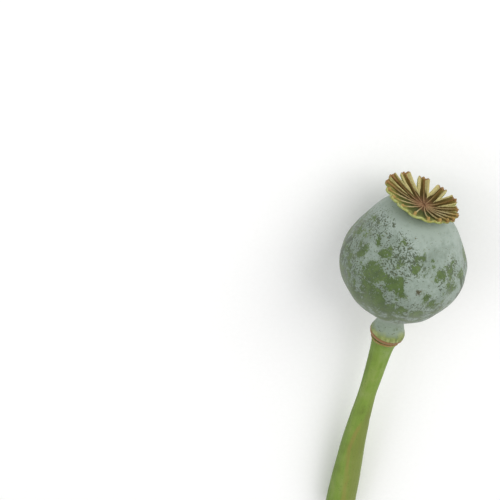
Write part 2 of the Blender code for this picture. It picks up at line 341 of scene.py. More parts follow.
def profile_heights(profile, rings):
    """Heights for the rings, evenly spaced along the outline's own length."""
    fine = np.linspace(profile[0][0], profile[-1][0], 800)
    radii = np.array([curve_through(profile, height) for height in fine])
    length = np.concatenate([[0.0], np.cumsum(np.hypot(np.diff(fine), np.diff(radii)))])
    return np.interp(np.linspace(0.0, length[-1], rings), length, fine)


def turned_points(profile, rings, segments, relief):
    """Upright points of a body turned about the middle line, ring by ring from the top."""
    points = []
    for height in profile_heights(profile, rings):
        place = spine_frame(height)
        radius = curve_through(profile, height)
        for number in range(segments):
            bearing = 2 * pi * number / segments
            points.append(place @ round_spot(radius + relief(height, bearing), bearing))
    return points


def turned_faces(rings, segments):
    """Quads between the rings of a turned body, without its ends."""
    faces = []
    for ring in range(rings - 1):
        for number in range(segments):
            after = (number + 1) % segments
            upper, lower = ring * segments, (ring + 1) * segments
            faces.append((upper + number, lower + number, lower + after, upper + after))
    return faces


def end_discs(points, faces, rings, segments, steps):
    """Close both ends of a turned body with inner rings and a middle point."""
    for ring, outwards in ((0, True), (rings - 1, False)):
        turn = 1 if outwards else -1
        rim = [ring * segments + number for number in range(segments)]
        middle = sum((points[index] for index in rim), Vector()) / segments
        loop = rim
        for step in range(1, steps):
            share = 1 - step / steps
            inner = []
            for index in rim:
                inner.append(len(points))
                points.append(middle.lerp(points[index], share))
            for number in range(segments):
                after = (number + 1) % segments
                faces.append((loop[number], loop[after], inner[after], inner[number])[::turn])
            loop = inner
        centre = len(points)
        points.append(middle)
        for number in range(segments):
            faces.append((loop[number], loop[(number + 1) % segments], centre)[::turn])


def rib_relief(height, bearing):
    """Height of the shallow ribs: full round the globe, gone at its neck and top."""
    reach = max(0.0, 1.0 - (height / CAPSULE_TOP) ** 2)
    return RIB_HEIGHT * reach * cos(RIB_COUNT * (bearing - RIB_TURN))


def head_matrix():
    """Upright head to the frame: crown turned towards -Y, then moved onto the capsule's solid."""
    turn = Matrix.Rotation(pi, 4, "Z") @ Matrix.Rotation(LYING_TILT - pi / 2, 4, "X")
    rings, segments = 90, 60
    points = [turn @ point for point in turned_points(CAPSULE_PROFILE, rings, segments, rib_relief)]
    low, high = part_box(CAPSULE_REPLACES)
    shift = []
    for axis in range(2):
        values = [point[axis] for point in points]
        shift.append((low[axis] + high[axis]) / 2 - (min(values) + max(values)) / 2)
    shift.append(high[2] - max(point.z for point in points))
    return Matrix.Translation(shift) @ turn


def link_object(name, data):
    """Put an object into the scene."""
    piece = bpy.data.objects.new(name, data)
    bpy.context.scene.collection.objects.link(piece)
    return piece


def add_mesh_object(name, points, faces, head, material):
    """Make one smooth mesh object from upright points, with the upright place kept on it."""
    mesh = bpy.data.meshes.new(name)
    mesh.from_pydata([tuple(head @ point) for point in points], [], faces)
    mesh.update()
    piece = link_object(name, mesh)
    finish_mesh(mesh, head, material)
    return piece


def finish_mesh(mesh, head, material):
    """Smooth shading, outward faces, the upright place as an attribute, and the material."""
    work = bmesh.new()
    work.from_mesh(mesh)
    bmesh.ops.recalc_face_normals(work, faces=work.faces)
    work.to_mesh(mesh)
    work.free()
    mesh.shade_smooth()
    store_vectors(mesh, "upright", upright_places(mesh, head))
    mesh.materials.clear()
    mesh.materials.append(material)


def upright_places(mesh, head):
    """Each point's place in the upright head, in metres, as rows of an array."""
    flat = np.empty(len(mesh.vertices) * 3)
    mesh.vertices.foreach_get("co", flat)
    back = np.array(head.inverted())
    return flat.reshape(-1, 3) @ back[:3, :3].T + back[:3, 3]


def store_vectors(mesh, name, rows):
    """Keep a vector for each point."""
    layer = mesh.attributes.new(name, "FLOAT_VECTOR", "POINT")
    layer.data.foreach_set("vector", np.ascontiguousarray(rows, dtype=np.float32).ravel())


def store_values(mesh, fields):
    """Keep a number for each point, for each named field."""
    for name, values in fields.items():
        layer = mesh.attributes.new(name, "FLOAT", "POINT")
        layer.data.foreach_set("value", np.asarray(values, dtype=np.float32))


def set_inputs(tree, node, inputs):
    """Link each input that is given a socket and set any other; hex codes become colours."""
    for key, value in inputs.items():
        if isinstance(value, bpy.types.NodeSocket):
            tree.links.new(value, node.inputs[key])
        elif isinstance(value, str) and value.startswith("#"):
            node.inputs[key].default_value = linear_colour(value)
        else:
            node.inputs[key].default_value = value


def add_node(tree, kind, inputs=(), stops=(), **settings):
    """Add one node with its settings and links, and return the output that is read from it.

    The inputs are a mapping, or a row in the order of NODE_KINDS. A ramp's stops are
    (position, sRGB code).
    """
    name, output, order, usual = NODE_KINDS.get(kind, (kind, 0, (), {}))
    node = tree.nodes.new(name)
    for setting, value in {**usual, **settings}.items():
        setattr(node, setting, value)
    if stops:
        elements = node.color_ramp.elements
        while len(elements) < len(stops):
            elements.new(0.5)
        for element, (position, code) in zip(elements, stops):
            element.position = position
            element.color = linear_colour(code)
    set_inputs(tree, node, inputs if isinstance(inputs, dict) else dict(zip(order, inputs)))
    return node.outputs[output]


def new_material(name, fields=(), grains=()):
    """A material, its node adder, and what it reads: fields of the mesh and grains of noise.

    A grain is (name, size in millimetres, detail, roughness, distortion, squeeze); a squeeze
    below 1 draws it out along the head.
    """
    material = bpy.data.materials.new(name)
    material.use_nodes = True
    node = partial(add_node, material.node_tree)
    read = {field: node("attribute", attribute_name=field) for field in fields}
    for grain, size, detail, roughness, distortion, squeeze in grains:
        place = node("attribute", attribute_name="upright").node.outputs["Vector"]
        if squeeze < 1.0:
            place = node("vector", (place, (1.0, 1.0, squeeze)))
        read[grain] = node("noise", (place, 1 / (size * MM), detail, roughness, distortion))
    return material, node, SimpleNamespace(**read)


def dressed(material, inputs):
    """The material with its shader's inputs linked or set."""
    tree = material.node_tree
    set_inputs(tree, tree.nodes["Principled BSDF"], {"Metallic": 0.0, **inputs})
    return material


def laid_over(node, below, colour, rough_field, limits, blend="soft range"):
    """A colour laid over another where a roughened field passes from one limit to the next.

    The field is given as (grain, weight of the grain, field).
    """
    share = node(blend, (node("MULTIPLY_ADD", rough_field), *limits))
    return node("mix", (share, below, colour))


def bloom_skin_material(settings):
    """Glaucous plant skin: a matt, pale grey-green wax bloom over smooth green skin.

    The wax is thin and flaky, so it is rubbed off in crisp patches and scattered flecks, and
    where it is gone the green skin shows, darker and a little glossier.
    """
    material, node, read = new_material(
        "glaucous_waxy_skin",
        ("rubbed", "flecked", "streaked", "collar", "thickness", "scab", "crimped", "corky", "neck"),
        # Clouds in the wax, torn patch edges, worm-like flakes, pin-point flecks, and streaks
        # that follow the capsule's length, six times as long as wide.
        (("cloud", 9.0, 5.0, 0.55, 0.0, 1.0), ("edge", 3.0, 6.0, 0.66, 0.0, 1.0),
         ("flake", 1.25, 3.0, 0.65, 1.2, 1.0), ("fleck", 0.7, 2.0, 0.55, 0.0, 1.0),
         ("streak", 2.4, 4.0, 0.65, 0.0, 0.17)))

    # Bare skin: the rubbed field roughened by the torn edges and flakes, with a crisp limit.
    torn = node("MULTIPLY_ADD", (read.edge, 2.1, read.rubbed))
    worn = node("MULTIPLY_ADD", (read.flake, 1.2, torn))
    bare = node("soft range", (worn, 2.1, 2.16))
    thin = node("soft range", (worn, 1.95, 2.15, 0.0, 0.75))

    # Flecks, flakes and streaks: each appears where its grain passes a limit set by its field.
    scatter = 0.0
    for grain, field, limit in ((read.fleck, read.flecked, 0.8), (read.flake, read.flecked, 0.78),
                                (read.streak, read.streaked, 0.78)):
        raised = node("MULTIPLY_ADD", (field, 0.3, grain))
        scatter = node("MAXIMUM", (scatter, node("soft range", (raised, limit, limit + 0.04))))
    scattered = node("MULTIPLY", (scatter, 0.9))
    # Crumbs of wax left on the bare skin: small ones, and flakes where it is little rubbed.
    bared = node("range", (read.fleck, 0.32, 0.37, 0.3))
    kept = node("MULTIPLY_ADD", (read.rubbed, -0.24, read.flake))
    peeled = node("range", (kept, 0.43, 0.47, 1.0, 0.1))
    left_bare = node("MULTIPLY", (node("MULTIPLY", (bare, bared)), peeled))
    gone = node("MAXIMUM", (left_bare, scattered))

    # The wax's ramp follows its cloudy unevenness and the thickness field, which holds painted light as well
    # as thicker wax.
    depth = node("MULTIPLY_ADD", (read.cloud, 0.7, -0.8))
    uneven = node("MULTIPLY_ADD", (read.edge, 0.9, depth))
    wax = node("ramp", (node("ADD", (uneven, read.thickness)),),
               ((0.2, settings.wax_shade_code), (0.5, "#7c8a7e"), (0.8, settings.wax_light_code)))
    # Thin wax rings the bare patches; the crumbs inside them are whole.
    wax = node("mix", (node("SUBTRACT", (thin, bare), use_clamp=True), wax, "#73826b"))
    # Low down and on the neck the wax lets more of the green through.
    wax = node("mix", (read.neck, wax, "#82917a"))
    skin = node("ramp", (read.edge,), ((0.3, "#384b21"), (0.5, settings.skin_code), (0.7, "#546a30")))
    # Flecks are pits in the wax, so their skin is darker than that of the open patches.
    skin = node("mix", (left_bare, "#37452a", skin))
    surface = node("mix", (gone, wax, skin))
    surface = laid_over(node, surface, "#47452e", (read.flake, 2.6, read.scab), (1.7, 2.1), "range")

    # The collar: bloomed above, yellow-green where it turns under, with painted shade in the hollows of its
    # crimps.
    under = node("ramp", (read.edge,), ((0.36, "#66752f"), (0.48, "#818d4c"), (0.62, "#9aa46a")))
    under = node("mix", (node("MULTIPLY", (read.crimped, 0.45)), under, "#4c5a26"))
    surface = laid_over(node, surface, under, (read.edge, 1.2, read.collar), (0.75, 1.5))
    # Its lowest edge is part of the corky scar: a brown line, then orange-tan.
    rough_cork = (read.fleck, 0.5, read.corky)
    cork = node("ramp", (node("MULTIPLY_ADD", rough_cork),),
                ((0.42, "#7d6a35"), (0.6, "#6f5229"), (0.78, "#94693c"), (1.1, "#8a6337")))
    surface = laid_over(node, surface, cork, rough_cork, (0.3, 0.5))

    # Wax stands a few hundredths of a millimetre proud of the skin; drawn deeper, to show.
    wax_height = node("MULTIPLY_ADD", (gone, -1.0, read.flake))
    return dressed(material, {
        "Base Color": surface,
        "Roughness": node("range", (gone, 0.0, 1.0, 0.72, 0.46)),
        "Normal": node("bump", (0.35, 0.12 * MM, wax_height)),
        "Specular IOR Level": 0.35,
        "Sheen Weight": 0.12,
        "Sheen Roughness": 0.6,
    })


def crown_material(settings):
    """Drying stigma tissue: papery straw flanks, olive web, tan tips, and dark brown grooves and gaps that
    are partly the tissue's own brown and partly painted shade.
    """
    material, node, read = new_material(
        "drying_stigma_disc", ("margin", "reach", "front", "lip", "tip", "below"),
        (("grain", 0.45, 4.0, 0.65, 0.0, 1.0), ("blotch", 1.8, 4.0, 0.6, 0.0, 1.0)))
    spread = node("MULTIPLY_ADD", (read.blotch, 0.3, read.reach))
    # The grooves beside the rays and the gaps between lobes are dark brown: partly the tissue's own colour,
    # partly painted shade.
    groove = node("ramp", (spread,),
                  ((0.32, "#6b4a2f"), (0.52, "#47370f"), (0.85, "#544517"), (1.0, "#6e5f2a")))
    web = node("ramp", (spread,),
               ((0.32, "#66452a"), (0.5, "#393e12"), (0.9, "#4d5319"), (1.1, "#72773a")))
    surface = node("mix", (read.front, groove, web))
    straw = node("ramp", (read.grain,), ((0.3, "#a39760"), (0.5, settings.straw_code), (0.75, "#c3ba86")))
    straw = node("mix", (node("range", (read.blotch, 0.52, 0.75, 0.0, 0.6)), straw, "#938653"))
    lip = node("ramp", (read.blotch,), ((0.38, "#a48c48"), (0.5, settings.lip_code), (0.65, "#b6ba88")))
    for colour, rough_field, limits in (
        (straw, (read.grain, 0.4, read.margin), (0.5, 0.85)),
        (lip, (read.blotch, 0.6, read.lip), (0.55, 1.0)),
        (settings.tip_code, (read.blotch, 0.7, read.tip), (0.75, 1.2)),
    ):
        surface = laid_over(node, surface, colour, rough_field, limits)
    under = node("mix", (read.blotch, "#75833c", "#a3ad69"))
    return dressed(material, {
        "Base Color": node("mix", (read.below, surface, under)),
        "Normal": node("bump", (0.35, 0.08 * MM, read.grain)),
        "Roughness": 0.78,
        "Specular IOR Level": 0.25,
    })


def ray_material(settings):
    """Velvety stigmatic rays: pinkish brown in the middle, straw to brown outwards, tan tips."""
    material, node, read = new_material(
        "velvety_stigma_rays", ("reach", "back"), (("papilla", 0.35, 3.0, 0.6, 0.0, 1.0),))
    spread = node("MULTIPLY_ADD", (read.papilla, 0.16, read.reach))
    far = node("ramp", (spread,), ((0.2, settings.middle_code), (0.4, "#8f7750"), (0.6, "#6f5a2d"),
                                   (0.88, "#71542c"), (1.02, "#936f47")))
    near = node("ramp", (spread,), ((0.2, settings.middle_code), (0.4, "#a08a62"), (0.74, "#b0a478"),
                                    (0.92, "#a8925a"), (1.02, "#a28650")))
    colour = node("mix", (read.back, near, far))
    shade = node("range", (read.papilla, 0.3, 0.7, 0.72, 1.12))
    return dressed(material, {
        "Base Color": node("vector scale", (colour, shade)),
        "Normal": node("bump", (0.7, 0.1 * MM, read.papilla)),
        "Roughness": 0.85,
        "Specular IOR Level": 0.2,
    })


def stem_material(settings):
    """Fresh green stem skin, satin, with fine lengthwise streaks, a grey bloom and ruddy marks."""
    material, node, read = new_material(
        "fresh_stem_skin", ("scarred", "ruddy", "pith", "olive", "deep", "bloomy"),
        (("streak", 1.4, 4.0, 0.6, 0.0, 0.12), ("patch", 7.0, 4.0, 0.55, 0.0, 1.0),
         ("speck", 0.6, 2.0, 0.5, 0.0, 1.0)))
    faint = node("MULTIPLY_ADD", (read.streak, 0.5, 0.25))
    mottle = node("MULTIPLY", (node("ADD", (faint, read.patch)), 0.5))
    surface = node("ramp", (mottle,), ((0.38, "#6c8034"), (0.5, settings.stem_code), (0.62, "#84964a")))
    surface = node("mix", (node("MULTIPLY", (read.olive, 0.7)), surface, "#757c3b"))
    # Painted shade: the stem's left side is mixed towards a deeper green.
    surface = node("mix", (read.deep, surface, "#4e6426"))
    surface = laid_over(node, surface, "#869a66", (read.patch, 1.0, read.bloomy), (0.6, 1.0, 0.0, 0.7))
    surface = node("mix", (node("range", (read.speck, 0.62, 0.7, 0.0, 0.6)), surface, "#59702f"))
    red_field = node("MULTIPLY", (read.ruddy, read.streak))
    surface = node("mix", (node("soft range", (red_field, 0.15, 0.6, 0.0, 0.55)), surface, "#8f7c42"))
    scar = node("mix", (read.speck, "#6f5f2c", "#ac9260"))
    surface = laid_over(node, surface, scar, (read.speck, 0.5, read.scarred), (0.6, 0.95))
    core = node("mix", (read.speck, "#a9b077", "#dfe0bd"))
    relief = node("MULTIPLY_ADD", (read.speck, 0.4, read.streak))
    return dressed(material, {
        "Base Color": node("mix", (read.pith, surface, core)),
        "Normal": node("bump", (0.35, 0.15 * MM, relief)),
        "Roughness": 0.58,
        "Specular IOR Level": 0.25,
    })


def scar_material(settings):
    """Corky scar tissue where stamens and petals fell: tan and orange-brown, dull."""
    material, node, read = new_material(
        "corky_scar_tissue", (), (("crumb", 0.5, 3.0, 0.5, 0.0, 1.0),))
    return dressed(material, {
        "Base Color": node("ramp", (read.crumb,),
                           ((0.3, "#7d5e34"), (0.5, settings.scar_code), (0.7, "#b5906a"))),
        "Normal": node("bump", (0.6, 0.1 * MM, read.crumb)),
        "Roughness": 0.8,
    })


def floor_material():
    """A matt white studio surface with a trace of grain."""
    fibre_size = 1.5 * MM
    material, node, _ = new_material("matt_white_paper")
    place = node("ShaderNodeTexCoord").node.outputs["Object"]
    fibre = node("noise", (place, 1 / fibre_size, 3.0))
    tone = node("range", (fibre, 0.0, 1.0, 0.93, 0.97))
    return dressed(material, {
        "Base Color": node("ShaderNodeCombineColor", {0: tone, 1: tone, 2: tone}),
        "Roughness": 0.9,
        "Specular IOR Level": 0.1,
    })


def capsule_point(bearing, height):
    """A point on the globe, upright."""
    return spine_frame(height) @ round_spot(curve_through(CAPSULE_PROFILE, height), bearing)


def on_globe(rows):
    """Rows of (bearing, height, radius, strength) as (upright point, radius, strength)."""
    return [
        (capsule_point(radians(bearing), height * MM), radius * MM, strength)
        for bearing, height, radius, strength in rows
    ]


def rubbed_places():
    """All rubbed places: those seen, then a seeded few behind."""
    draw = np.random.default_rng(RUBBED_SEED)
    behind = [[draw.uniform(*limits) for limits in BEHIND_RANGES] for _ in range(RUBBED_BEHIND)]
    return on_globe(RUBBED_PLACES + behind)


def spot_share(places, centre, radius):
    """How far each place lies inside a soft round spot: 1 in its middle, 0 far off."""
    distance = np.linalg.norm(places - np.array(centre), axis=1)
    return np.exp(-((distance / radius) ** 2))


def collar_crimp(bearing):
    """Uneven rise and fall of the collar's crimps, round its edge."""
    return noise.noise(round_spot(1.0, bearing) * CRIMP_CROWDING)


def capsule_relief(height, bearing):
    """Ribs, wrinkles of the neck, crimps, and the slight unevenness of a grown thing."""
    radius = curve_through(CAPSULE_PROFILE, height)
    point = round_spot(radius, bearing, height)
    globe = smooth_step(4.8 * MM, 9.0 * MM, radius)
    uneven = swell(point, *GLOBE_BROAD_SWELL) + swell(point, *GLOBE_SMALL_SWELL)
    collar = (1 - globe) * smooth_step(-24.0 * MM, -27.0 * MM, height)
    wrinkle = collar * swell((point.x, point.y, point.z * 0.5), *NECK_WRINKLE)
    crimp = CRIMP_DEPTH * smooth_step(-29.5 * MM, -31.5 * MM, height) * collar_crimp(bearing)
    return rib_relief(height, bearing) + globe * uneven + wrinkle + crimp


def turned_body(name, node, profile, relief, end_steps, settings, material):
    """A closed turned body, pressed flat where it would dip below its solid; also its places."""
    head = head_matrix()
    rings, segments = settings.rings, settings.segments
    points = turned_points(profile, rings, segments, relief)
    faces = turned_faces(rings, segments)
    end_discs(points, faces, rings, segments, end_steps)
    back = head.inverted()
    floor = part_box(node)[0][2]
    for index, point in enumerate(points):
        laid = head @ point
        if laid.z < floor:
            laid.z = floor
            points[index] = back @ laid
    piece = add_mesh_object(name, points, faces, head, material)
    return piece, upright_places(piece.data, head)


def capsule_wear(places, low):
    """Where the wax is rubbed off, flecked and streaked: most low down and to one side."""
    x, z = places[:, 0] / CAPSULE_RADIUS, places[:, 2] / CAPSULE_RADIUS
    wear = 0.66 - 0.2 * x - 0.46 * z
    flecked = np.clip(wear, 0.1, 0.72)
    for centre, radius, strength in on_globe(FLECKED_PLACES):
        flecked += (strength - flecked) * spot_share(places, centre, radius)
    # Vector noise starts from the clock unless a seed is set, and the patches must stay put.
    noise.seed_set(RUBBED_SEED)
    ragged = places.copy()
    for size, reach in RAGGED_SIZES:
        ragged += reach * np.array([noise.noise_vector(Vector(place) / size) for place in places])
    rubbed = np.zeros(len(places))
    for centre, radius, strength in rubbed_places():
        rubbed = np.maximum(rubbed, strength * spot_share(ragged, centre, radius))
    left = rise(-places[:, 0], *LEFT_BAND_OUT)
    patchy = np.array([swell(place, PATCH_SIZE, 1.0) for place in places])
    everywhere = 0.42 * left + 0.52 * low - 0.26 * left * low + (0.2 + 0.5 * low) * patchy
    streaked = 0.3 + 0.6 * rise(np.abs(x), 0.6, 0.35) + 0.3 * (wear - 0.5)
    return (
        np.maximum(rubbed, everywhere),
        np.clip(flecked + 0.15 * rubbed, 0.0, 1.0),
        np.clip(streaked, 0.0, 1.0),
    )


def build_capsule(settings):
    """The globe, neck and collar, fine enough for their ribs and unevenness."""
    piece, places = turned_body("capsule_skin", CAPSULE_REPLACES, CAPSULE_PROFILE, capsule_relief, 3,
                                settings, bloom_skin_material(settings))
    x, y, z = places.T
    globe = rise(z, *GLOBE_BAND)
    low = rise(-z, *LOW_BAND_DOWN)
    rubbed, flecked, streaked = capsule_wear(places, low)
    # The thickness field holds painted light as well as thicker wax: the wax is painted lighter towards the
    # top and the right, where the light falls. The lift low down is thicker wax.
    thickness = 0.54 + 0.08 * z / CAPSULE_RADIUS + 0.1 * x / CAPSULE_RADIUS
    # Painted light under the crown, against its shadow.
    thickness += 0.25 * rise(z, *PAINTED_LIGHT_TOP_BAND) + 0.12 * low
    # The collar's colours follow bearings about the middle line at its own height.
    bearings = np.arctan2(y, x - curve_through(SPINE, COLLAR_HEIGHT))
    cork_top = CORK_TOP - CORK_SLANT * np.cos(bearings - CORK_LOW_BEARING)
    # Painted shade: darkest where a crimp is pressed in, along the collar's lower edge.
    crimps = -2.5 * np.array([collar_crimp(bearing) for bearing in bearings])
    crimp_shade_band = rise(-z, *CRIMP_SHADE_BAND_DOWN) * rise(z, *CRIMP_SHADE_BAND_UP)
    store_values(piece.data, {
        "rubbed": rubbed * globe + 0.16 * (1 - globe),
        "flecked": flecked * globe + 0.5 * (1 - globe),
        "streaked": streaked * globe,
        # Painted light: the neck and collar are painted lighter, against the shade under the globe.
        "thickness": np.clip(thickness, 0.4, 0.95) + 0.25 * (1 - globe),
        "neck": np.maximum(0.6 * (1 - globe), 0.25 * low),
        "scab": spot_share(places, capsule_point(*SCAB), SCAB_RADIUS),
        "collar": rise(-z, *COLLAR_BAND_DOWN),
        "corky": rise(-z, -cork_top, CORK_DEPTH),
        "crimped": np.clip(crimps, 0.0, 1.0) * crimp_shade_band,
    })
    return piece


def lobe_bearings():
    """Bearings of the crown's rays: even steps, crowded on one side and thinned out on two."""
    even = [LOBE_FIRST - 2 * pi * number / LOBE_COUNT for number in range(LOBE_COUNT)]
    return [
        angle - LOBE_CROWDING * cos(angle - LOBE_CROWDED_SIDE)
        - LOBE_PAIRING * cos(2 * (angle - LOBE_PAIRED_SIDE))
        for angle in even
    ]


def lobe_lengths(bearings):
    """Reach of each lobe: the crown's radius, short on one side, with a seeded jitter."""
    jitter = np.random.default_rng(CROWN_SEED).uniform(-1.0, 1.0, len(bearings))
    return [
        CROWN_RADIUS - CROWN_SHORTENING * cos(bearing - CROWN_SHORT_SIDE) + CROWN_JITTER * shift
        for bearing, shift in zip(bearings, jitter)
    ]


def web_radius(bearing):
    """How far the web between the lobes reaches: deep gaps on the far side, hardly any near."""
    away = (1.0 - cos(bearing - WEB_FAR_SIDE)) / 2
    return WEB_FAR + (WEB_NEAR - WEB_FAR) * away ** WEB_POWER


def lobe_shapes():
    """Each lobe as (bearing, length, half width, gap before, gap after)."""
    bearings = lobe_bearings()
    shapes = []
    for number, (bearing, length) in enumerate(zip(bearings, lobe_lengths(bearings))):
        before = bearings[number - 1] + (2 * pi if number == 0 else 0.0) - bearing
        last = number == LOBE_COUNT - 1
        after = bearing - bearings[(number + 1) % LOBE_COUNT] + (2 * pi if last else 0.0)
        half_width = min(LOBE_HALF_WIDTH, LOBE_FILL * min(before, after) * length)
        shapes.append((bearing, length, half_width, before, after))
    return shapes


def facing(bearing, side):
    """1 within an angle of a side's bearing, falling to 0 at a wider angle."""
    towards, full, gone = map(radians, side)
    return smooth_step(cos(gone), cos(full), cos(bearing - towards))


def crown_spot(radius, bearing, height):
    """A point of the crown, whose middle sits a little to one side of its rim's."""
    aside = CROWN_OFFSET * (1 - radius / CROWN_RADIUS)
    return Vector((radius * cos(bearing) + aside, radius * sin(bearing), height))


def crown_columns(lobe_steps, gap_steps):
    """Directions round the crown: bearing, rim radius, offset from the ray, and their lobe."""
    columns = []
    lifts = np.random.default_rng(CROWN_SEED + 2).uniform(-TIP_LIFT, TIP_LIFT, LOBE_COUNT)
    for (bearing, length, half_width, gap_before, gap_after), lift in zip(lobe_shapes(), lifts):
        edge = asin(half_width / length)
        corner = length - LOBE_TIP_ROUND
        for side, gap in ((1.0, gap_before), (-1.0, gap_after)):
            steps = []
            for number in range(lobe_steps + 1):
                share = number / lobe_steps
                steps.append((edge * share, length - LOBE_TIP_ROUND * share ** 2))
            for number in range(1, gap_steps + 1):
                angle = edge + (gap / 2 - edge) * number / gap_steps
                web = web_radius(bearing + side * angle)
                steps.append((angle, max(min(web, corner), corner * sin(edge) / sin(angle))))
            # The ray itself and the middle of each gap belong to one side only.
            steps = steps[::-1] if side > 0 else steps[1:-1]
            for angle, rim in steps:
                columns.append({
                    "bearing": bearing + side * angle,
                    "rim": rim,
                    "offset": angle,
                    "half_width": half_width,
                    "half_gap": gap / 2,
                    "length": length,
                    # Margins curl up at the tip: most on the far side, not at all near.
                    "curl": LOBE_CURL * (1.0 + sin(bearing)) / 2,
                    "lift": lift * (1 - min(1.0, angle / (gap / 2)) ** 2),
                })
    return columns


def across_lobe(radius, column):
    """Distance from the ray, and that distance as a share of the lobe's half width there."""
    across = radius * sin(column["offset"])
    flank = max(0.05 * MM, min(column["half_width"], radius * sin(column["half_gap"])))
    return across, across / flank


def flank_start(bearing, out):
    """Share of a lobe's half width where its flank starts; flanks come in as thin lines."""
    full = FLANK_START + (FLANK_START_BACK - FLANK_START) * facing(bearing, BACK_SIDE)
    return 1 - (1 - full) * smooth_step(0.28, 0.66, out)


def crown_top(radius, column):
    """Height of the crown's upper side: a cup of folded lobes round a low boss."""
    bearing = column["bearing"]
    across, share = across_lobe(radius, column)
    inside = min(1.0, share)
    out = min(1.0, radius / CROWN_RADIUS)
    front = facing(bearing, FRONT_SIDE)
    away = smooth_step(0.22, 0.55, out)
    cup = (CROWN_RISE + CROWN_DEPTH) * (radius / CROWN_RADIUS) ** CROWN_RISE_POWER - CROWN_DEPTH
    height = cup + column["lift"] * out ** 3
    height += RAY_BASE_HEIGHT * min(1.0, radius / HUB_RADIUS) * bell(across / RAY_BASE_WIDTH)
    height += BOSS_HEIGHT * bell(radius / BOSS_RADIUS)
    height -= GROOVE_DEPTH * away * (1 - 0.7 * front) * bell((share - GROOVE_SHARE) / GROOVE_SPREAD)
    start = flank_start(bearing, out)
    flank = max(0.0, (inside - start) / (1.001 - start))
    height += FLANK_HEIGHT * away * (1 - 0.85 * facing(bearing, NEAR_SIDE)) * sin(pi * flank ** 0.8)
    height += column["curl"] * out ** 3 * inside ** 3
    height += LIP_HEIGHT * front * smooth_step(column["rim"] - LIP_WIDTH, column["rim"], radius)
    place = round_spot(radius, bearing)
    return height + swell(place, *CROWN_WRINKLE) * away + swell(place, *CROWN_BROAD_SWELL) * out


def crown_under(radius, column):
    """Height of the crown's lower side, flat under the hub and rising to the rim."""
    hub_base = CAPSULE_TOP + PIECE_GAP - CROWN_CENTRE
    rim_base = CROWN_RISE - LOBE_THICKNESS
    share = max(0.0, (radius - HUB_RADIUS) / (CROWN_RADIUS - HUB_RADIUS))
    inside = min(1.0, across_lobe(radius, column)[1])
    curl = column["curl"] * min(1.0, share) ** 3 * inside ** 3
    return hub_base + (rim_base - hub_base) * share + curl + column["lift"] * min(1.0, share) ** 3


def crown_marks(radius, column, below):
    """Where a point lies on its lobe, as the values that the colours are drawn from."""
    bearing, rim = column["bearing"], column["rim"]
    share = across_lobe(radius, column)[1]
    out = radius / CROWN_RADIUS
    front = facing(bearing, FRONT_SIDE)
    start = flank_start(bearing, min(1.0, out))
    flank = smooth_step(start - 0.08, start + 0.08, share) * (1 - smooth_step(0.98, 1.1, share))
    flank *= smooth_step(0.28, 0.36, out)
    pale = (1 - 0.4 * facing(bearing, DULL_SIDE)) * (1 - 0.9 * facing(bearing, NEAR_SIDE))
    return {
        "margin": flank * pale,
        "reach": out,
        "front": front,
        "lip": front * smooth_step(rim - LIP_WIDTH, rim - 0.3 * LIP_WIDTH, radius),
        "tip": (1 - front) * smooth_step(0.88, 0.99, radius / column["length"]),
        "below": below,
    }


def build_crown(settings):
    """The crown's lobed disc: an upper and a lower skin that meet in its rim."""
    head = head_matrix()
    place = spine_frame(CROWN_CENTRE)
    columns = crown_columns(settings.lobe_steps, settings.gap_steps)
    points, marks = [], []

    def add_point(radius, column, height_of, below):
        points.append(place @ crown_spot(radius, column["bearing"], height_of(radius, column)))
        marks.append(crown_marks(radius, column, below))

    hub, outer, lower = settings.hub_rings, settings.outer_rings, settings.under_rings
    sheets = [(0.0, HUB_RADIUS, ring / hub, crown_top, 0.0) for ring in range(1, hub + 1)]
    sheets += [(HUB_RADIUS, None, ring / outer, crown_top, 0.0) for ring in range(1, outer + 1)]
    sheets += [(HUB_RADIUS, None, ring / lower, crown_under, 1.0) for ring in range(lower, -1, -1)]
    for start, end, share, height_of, below in sheets:
        for column in columns:
            # The rim is slightly ragged.
            rough = noise.noise(round_spot(1.0, column["bearing"], 0.3) * RIM_CROWDING)
            reach = end or column["rim"] * (1 + RIM_RAGGEDNESS * rough)
            add_point(start + (reach - start) * share, column, height_of, below)
    count, rings = len(columns), len(sheets)
    faces = turned_faces(rings, count)
    for ring, turn, height_of, below in ((0, 1, crown_top, 0.0), (rings - 1, -1, crown_under, 1.0)):
        centre = len(points)
        points.append(place @ crown_spot(0.0, 0.0, height_of(0.0, columns[0])))
        marks.append(crown_marks(0.0, columns[0], below))
        for number in range(count):
            triangle = (centre, ring * count + number, ring * count + (number + 1) % count)
            faces.append(triangle[::turn])
    piece = add_mesh_object("crown_disc", points, faces, head, crown_material(settings))
    store_values(piece.data, {name: [mark[name] for mark in marks] for name in marks[0]})
    return piece


